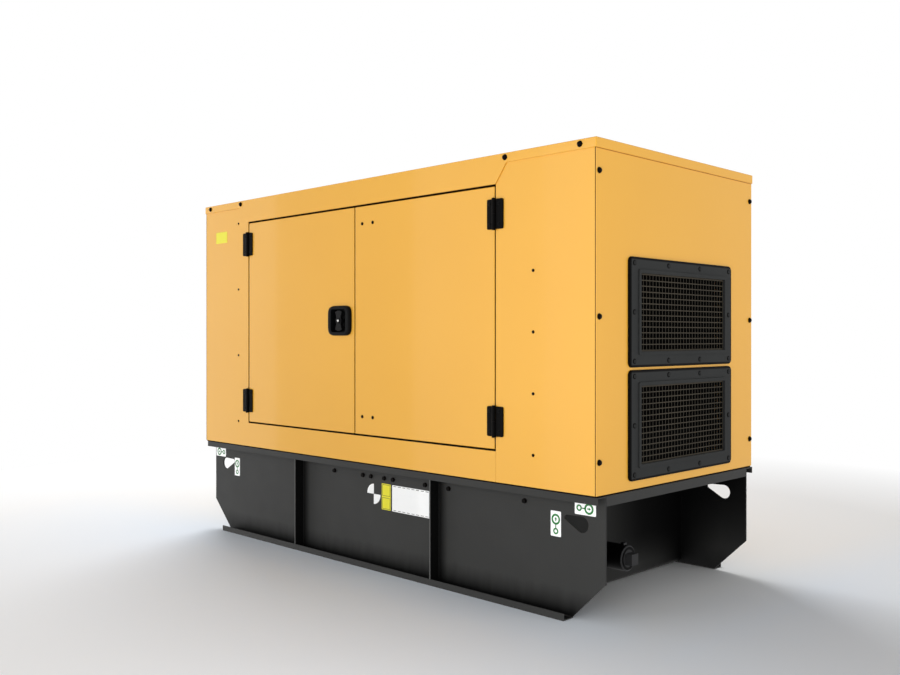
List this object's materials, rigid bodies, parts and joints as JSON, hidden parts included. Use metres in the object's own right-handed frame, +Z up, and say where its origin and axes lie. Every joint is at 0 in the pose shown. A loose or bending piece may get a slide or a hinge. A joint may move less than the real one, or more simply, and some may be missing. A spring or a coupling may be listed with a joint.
{
  "type": "enclosed generator set",
  "caption": "Sound-attenuated diesel generator set in a sheet steel canopy on a fuel tank base, with hinged front service doors, end grilles and lifting eyes.",
  "frame": {"origin": "on the floor under the middle of the canopy", "axes": "+X to the radiator end, -Y to the front with the moving doors, +Z up"},
  "size_m": [2.394, 1.068, 1.58],
  "materials": {
    "base_black": "satin powder coat",
    "canopy_yellow": "satin powder coat",
    "seal_rubber": "matt",
    "lining_foam": "matt foam",
    "hinge_black": "satin",
    "latch_black": "satin",
    "grille_black": "satin moulded",
    "mesh_grey": "satin",
    "chassis_black": "satin",
    "machine_grey": "painted casting",
    "moulded_black": "satin moulded",
    "exhaust_steel": "dull",
    "cabinet_grey": "satin powder coat"
  },
  "bodies": {
    "enclosure": {"front_skid_web": "base_black", "back_skid_web": "base_black", "top_rails": "base_black", "foot_rails": "base_black", "skid_ribs": "base_black", "end_cross_members": "base_black", "deck_plate": "base_black", "fuel_tank": "base_black", "tank_drain": "base_black", "canopy_seal": "seal_rubber", "roof": "canopy_yellow", "right_end_panel": "canopy_yellow", "left_end_panel": "canopy_yellow", "front_right_panel": "canopy_yellow", "front_left_panel": "canopy_yellow", "back_right_panel": "canopy_yellow", "back_left_panel": "canopy_yellow", "corner_seals": "seal_rubber", "frame_hinge_leaves": "hinge_black", "back_doors": "canopy_yellow", "back_hinges": "hinge_black", "back_latch": "latch_black", "right_grille_frames": "grille_black", "right_upper_mesh": "mesh_grey", "right_lower_mesh": "mesh_grey", "left_grille_frames": "grille_black", "left_upper_mesh": "mesh_grey", "left_lower_mesh": "mesh_grey", "engine_bed": "chassis_black", "engine_block": "machine_grey", "rocker_cover": "moulded_black", "alternator": "machine_grey", "radiator": "chassis_black", "cooling_fan": "moulded_black", "air_cleaner": "moulded_black", "silencer": "exhaust_steel", "control_box": "cabinet_grey", "battery": "moulded_black"},
    "left_door": {"front_left_door": "canopy_yellow", "front_left_lining": "lining_foam", "front_left_hinge_leaves": "hinge_black", "latch_bezel": "latch_black"},
    "right_door": {"front_right_door": "canopy_yellow", "front_right_lining": "lining_foam", "front_right_hinge_leaves": "hinge_black"},
    "handle": {"latch_handle": "latch_black"}
  },
  "joints": [
    {"name": "left_door_hinge", "type": "hinge", "parent": "enclosure", "child": "left_door", "pos_m": [-0.806, -0.526, 1.0055], "axis": [0, 0, -1], "range_deg": [0, 165]},
    {"name": "right_door_hinge", "type": "hinge", "parent": "enclosure", "child": "right_door", "pos_m": [0.747, -0.526, 1.0055], "axis": [0, 0, 1], "range_deg": [0, 165]},
    {"name": "latch_turn", "type": "hinge", "parent": "left_door", "child": "handle", "pos_m": [-0.1195, -0.518, 1.0055], "axis": [0, -1, 0], "range_deg": [0, 90]}
  ]
}
